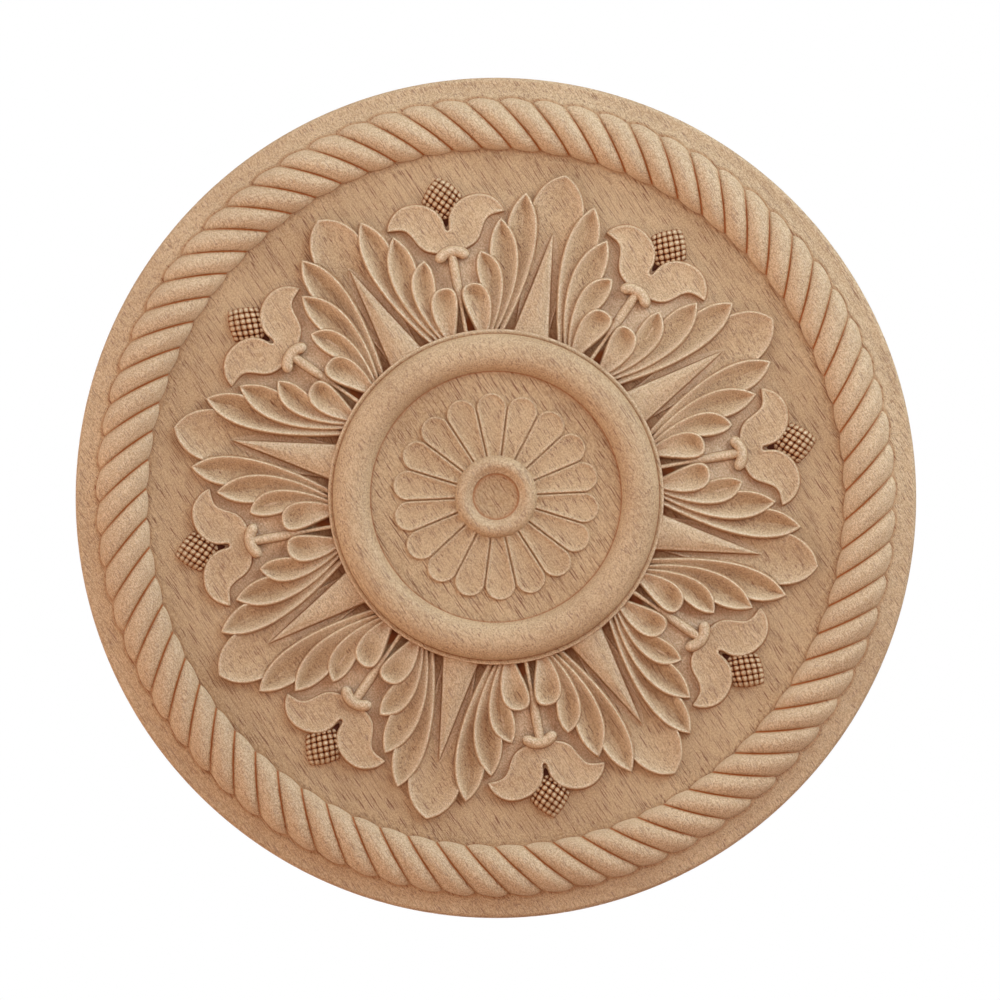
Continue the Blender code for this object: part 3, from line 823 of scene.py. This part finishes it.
# %% [markdown]
# ## Bare sanded hardwood
# The wood is rubberwood or beech, sawn, carved, finely sanded and left without
# finish. To the eye it is matt, warm and pale, with short dark vessel lines that
# all run one way, from upper left to lower right, and a fine speckle of pores.
# Sanding fills the pores of raised forms with pale dust, and their colour is also painted paler as highlight,
# while the bottoms of cuts, the feet of forms and the pits are painted browner as shade, the deepest darker
# still. A scanned board could be wrapped round the forms, but it would stretch on their walls. So the pattern
# is made in the board's own space, and runs unbroken through leaf, ring and rope, as in one board, and the
# tone stored with the points says where it is painted lighter or darker as light and shade.

# %% Colours and the node helper
# pale and deep are the two ends of the bare wood's own colour, vessel its open vessels, the two sanded
# colours the rubbed forms and the speckle in them, paler partly from sanding and partly as painted highlight,
# cut the painted shade in cuts and at the feet of forms, and the last the darkest painted shade.
WOOD = {
    "pale": "D7B68E",
    "deep": "AC855D",
    "vessel": "8A5C3E",
    "sanded": "F0D7B8",
    "sanded_pore": "D1AF8A",
    "cut": "A65C26",
    "painted_deep_shade": "4E1E0C",
}


def linear(hex_colour):
    """An sRGB hex colour as linear red, green, blue and alpha."""
    values = np.array([int(hex_colour[k : k + 2], 16) for k in (0, 2, 4)]) / 255
    low, high = values / 12.92, ((values + 0.055) / 1.055) ** 2.4
    return (*np.where(values <= 0.04045, low, high), 1.0)


def node(tree, kind, settings=None, **links):
    """Adds a node: settings are its properties or its sockets' values, by name,
    and each link is a socket's name, spaces as _, or _ and its number, with the
    output it takes."""
    made = tree.nodes.new(kind)
    for name, value in (settings or {}).items():
        if hasattr(made, name):
            setattr(made, name, value)
        else:
            made.inputs[name].default_value = value
    for name, output in links.items():
        socket = made.inputs[int(name[1:])] if name[1:].isdigit() else made.inputs[name.replace("_", " ")]
        tree.links.new(output, socket)
    return made


print("pale wood in linear light:", np.round(linear(WOOD["pale"])[:3], 3))

# %% The wood
# Bare wood is rough to light: a roughness of 0.55 and a specular level a little
# under the usual half leave only a soft sheen. 1.5 is near the IOR of cellulose.
# Sizes are in millimetres, across and along the grain. Real vessels are 0.2 to
# 0.3 wide. Real fibres and pores are some hundredths wide, too fine to show, so
# they are drawn 0.6 and 0.34 wide.
ROUGHNESS, IOR, SPECULAR_LEVEL = 0.55, 1.5, 0.4
GRAIN_ANGLE = math.radians(124.0)
BROAD_BANDS, FIBRES, VESSELS, PORES = (26.0, 150.0), (0.6, 20.0), (0.28, 6.5), (0.34, 0.65)
PORE_DEPTH = 0.15


def sanded_hardwood():
    """Streaks and vessels are noise squeezed across the grain: a noise scaled by
    1 / width across and 1 / length along it has features of that size."""
    material = bpy.data.materials.new("sanded_hardwood")
    material.use_nodes = True
    tree = material.node_tree
    shader = tree.nodes["Principled BSDF"]
    shader.inputs["Roughness"].default_value = ROUGHNESS
    shader.inputs["IOR"].default_value = IOR
    shader.inputs["Specular IOR Level"].default_value = SPECULAR_LEVEL
    place = node(tree, "ShaderNodeTexCoord").outputs["Object"]

    def streaks(size, detail, offset=0.0):
        """Noise whose marks are so wide and so long, with the length along the
        grain. Another offset gives another pattern."""
        width, length = size
        scale = (1 / (length * MM), 1 / (width * MM), 1 / (width * MM))
        along = node(tree, "ShaderNodeMapping", {"Rotation": (0.0, GRAIN_ANGLE, 0.0)}, Vector=place)
        squeeze = {"Scale": scale, "Location": (offset,) * 3}
        squeezed = node(tree, "ShaderNodeMapping", squeeze, Vector=along.outputs[0])
        noise = {"Scale": 1.0, "Detail": detail}
        return node(tree, "ShaderNodeTexNoise", noise, Vector=squeezed.outputs[0]).outputs["Fac"]

    def ramp(value, low, high):
        """0 below low and 1 above high, eased between."""
        settings = {"interpolation_type": "SMOOTHSTEP", "From Min": low, "From Max": high}
        return node(tree, "ShaderNodeMapRange", settings, Value=value).outputs["Result"]

    def blended(factor, first, second):
        """The share factor of the second number, and the rest of the first."""
        settings = {"data_type": "FLOAT", "Factor": factor}
        return node(tree, "ShaderNodeMix", settings, _2=first, _3=second).outputs[0]

    def mixed(share, first, second):
        """The first colour where share is 0, the second where it is 1."""
        made = node(tree, "ShaderNodeMix", {"data_type": "RGBA"}, _0=share)
        for socket, colour in ((6, first), (7, second)):
            if isinstance(colour, str):
                made.inputs[socket].default_value = linear(colour)
            else:
                tree.links.new(colour, made.inputs[socket])
        return made.outputs[2]

    bands = ramp(streaks(BROAD_BANDS, 2.0), 0.35, 0.65)
    fibres = ramp(streaks(FIBRES, 3.0, 3.7), 0.32, 0.68)
    vessels = ramp(streaks(VESSELS, 1.5, 9.1), 0.56, 0.67)
    pores = ramp(streaks(PORES, 2.0, 5.3), 0.40, 0.60)
    body = mixed(blended(0.56, blended(0.4, bands, fibres), pores), WOOD["pale"], WOOD["deep"])
    marked = mixed(vessels, body, WOOD["vessel"])

    # The tone paints light and shade: above 0 the sanded colours, from sanding and painted highlight, from
    # -0.1 down to -1 painted shade, and below -1.1 the darkest painted shade.
    tone = node(tree, "ShaderNodeAttribute", {"attribute_name": "tone"}).outputs["Fac"]
    rubbed_and_lit = mixed(pores, WOOD["sanded"], WOOD["sanded_pore"])
    sanded = mixed(ramp(tone, 0.0, 1.2), marked, rubbed_and_lit)
    cut = mixed(ramp(tone, -0.1, -1.0), sanded, WOOD["cut"])
    tree.links.new(mixed(ramp(tone, -1.1, -2.2), cut, WOOD["painted_deep_shade"]), shader.inputs["Base Color"])

    relief = node(tree, "ShaderNodeMath", {"operation": "SUBTRACT"}, _0=pores, _1=vessels)
    cut_in = {"Strength": 0.8, "Distance": PORE_DEPTH * MM}
    bump = node(tree, "ShaderNodeBump", cut_in, Height=relief.outputs[0])
    tree.links.new(bump.outputs["Normal"], shader.inputs["Normal"])
    return material


wood = sanded_hardwood()
print(wood.name, "has", len(wood.node_tree.nodes), "nodes")

# %% Wood on every form
carving = [board, ring, button, rosette, broad_leaves, leaf_sprays, flowers, seed_heads]
for form in carving:
    form.data.materials.append(wood)
    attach(form, "root")
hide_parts("carved_rosette")
print(len(carving), "pieces stand for the one solid")

# %% [markdown]
# ## The floor and the light
# The plaque hangs clear above a plain pale floor, so that it can be looked at
# from every side. Low relief shows only in light that grazes it. So cool large
# softboxes stand far to the side, from the right over the top to the upper left,
# and weaker warm lamps to the left and below, while one in front keeps the
# hollows readable. One lamp alone would be simpler, but would leave hard black
# shadows. Warm light from all round, as wood and walls throw back, fills the
# cuts, and a last lamp lights the flat back.

# %% Floor and white surroundings
FLOOR_HALF, FLOOR_Z = 0.6, -1.0


def pale_floor():
    """A plain matt floor under the plaque, outside the camera's view."""
    corners = [(x * FLOOR_HALF, y * FLOOR_HALF, FLOOR_Z) for x, y in ((-1, -1), (1, -1), (1, 1), (-1, 1))]
    mesh = bpy.data.meshes.new("floor")
    mesh.from_pydata(corners, [], [(0, 1, 2, 3)])
    floor = bpy.data.objects.new("floor", mesh)
    bpy.context.scene.collection.objects.link(floor)
    paint = bpy.data.materials.new("floor_paint")
    paint.use_nodes = True
    paint.node_tree.nodes["Principled BSDF"].inputs["Base Color"].default_value = linear("F4F2EF")
    paint.node_tree.nodes["Principled BSDF"].inputs["Roughness"].default_value = 0.9
    floor.data.materials.append(paint)


def white_tent(strength, colour):
    """A world that lights the plaque evenly and that the camera sees as white."""
    world = bpy.data.worlds.new("tent")
    world.use_nodes = True
    bpy.context.scene.world = world
    tree = world.node_tree
    tree.nodes.clear()
    seen = node(tree, "ShaderNodeBackground", {"Color": (1, 1, 1, 1), "Strength": 1.0})
    lit = node(tree, "ShaderNodeBackground", {"Color": linear(colour), "Strength": strength})
    ray = node(tree, "ShaderNodeLightPath").outputs["Is Camera Ray"]
    mix = node(tree, "ShaderNodeMixShader", {}, _0=ray, _1=lit.outputs[0], _2=seen.outputs[0])
    node(tree, "ShaderNodeOutputWorld", {}, Surface=mix.outputs[0])


pale_floor()
white_tent(0.3, "FFA25A")
print("floor", 2 * FLOOR_HALF, "m wide,", -FLOOR_Z, "m under the plaque's middle")

# %% Lamps
SOFTBOX_SIZE, SOFTBOX_AWAY = 0.8, 1.2
SUN_WIDTH = math.radians(40.0)
DAYLIGHT, LAMPLIGHT = "CFEFFF", "FFEBD9"


def lamp(name, bearing, tilt, strength, colour, away=None):
    """A lamp on the side bearing, in degrees from +X towards +Z as seen from the
    front, tilted away from the camera's direction: a square softbox so many
    metres away, or a wide sun."""
    light = bpy.data.lights.new(name, "AREA" if away else "SUN")
    light.energy = strength
    light.color = linear(colour)[:3]
    if away:
        light.size = SOFTBOX_SIZE
    else:
        light.angle = SUN_WIDTH
    made = bpy.data.objects.new(name, light)
    bearing, tilt = math.radians(bearing), math.radians(tilt)
    side = math.sin(tilt)
    towards = Vector((side * math.cos(bearing), -math.cos(tilt), side * math.sin(bearing)))
    made.location = towards * (away or 1.0)
    made.rotation_euler = towards.to_track_quat("Z", "Y").to_euler()
    bpy.context.scene.collection.objects.link(made)


lamp("front", 90.0, 8.0, 0.5, "F0F0F0")
lamp("behind", 90.0, 172.0, 2.3, "DFEBFF")
lamp("softbox_right", 20.0, 66.0, 8.6, DAYLIGHT, SOFTBOX_AWAY)
lamp("softbox_above_right", 50.0, 66.0, 9.6, DAYLIGHT, SOFTBOX_AWAY)
lamp("softbox_above", 92.0, 66.0, 3.3, DAYLIGHT, SOFTBOX_AWAY)
lamp("softbox_above_left", 140.0, 66.0, 6.1, DAYLIGHT, SOFTBOX_AWAY)
lamp("left", 180.0, 75.0, 0.8, LAMPLIGHT)
lamp("below_left", 245.0, 74.0, 1.65, LAMPLIGHT)
lamp("softbox_below", 278.0, 74.0, 9.8, LAMPLIGHT, SOFTBOX_AWAY)
print(len(bpy.data.lights), "lamps")

# %% [markdown]
# ## The camera
# It looks straight at the plaque from far off with a long lens, a little from
# below, as the photograph does: its circles stay round. The lens follows from
# the width to be seen, for the sensor is to the focal length as that width is to
# the distance.

# %% Camera
PHOTO_SCALE = 300.0 / 840.0 * MM
FRAME_WIDTH = 1000 * PHOTO_SCALE
CAMERA_DISTANCE = 6.0
CAMERA_BELOW = math.radians(2.0)
SENSOR_WIDTH = 36.0

aim = Vector((1.45 * MM, 0.0, -0.61 * MM))
camera = bpy.data.objects.new("camera", bpy.data.cameras.new("camera"))
bpy.context.scene.collection.objects.link(camera)
camera.location = aim + CAMERA_DISTANCE * Vector((0.0, -math.cos(CAMERA_BELOW), -math.sin(CAMERA_BELOW)))
camera.rotation_euler = (aim - camera.location).to_track_quat("-Z", "Y").to_euler()
camera.data.sensor_width = SENSOR_WIDTH
camera.data.lens = SENSOR_WIDTH * CAMERA_DISTANCE / FRAME_WIDTH
camera.data.clip_end = 50.0
bpy.context.scene.camera = camera
bpy.context.scene.view_settings.view_transform = "Standard"
print("lens, mm:", round(camera.data.lens, 1))
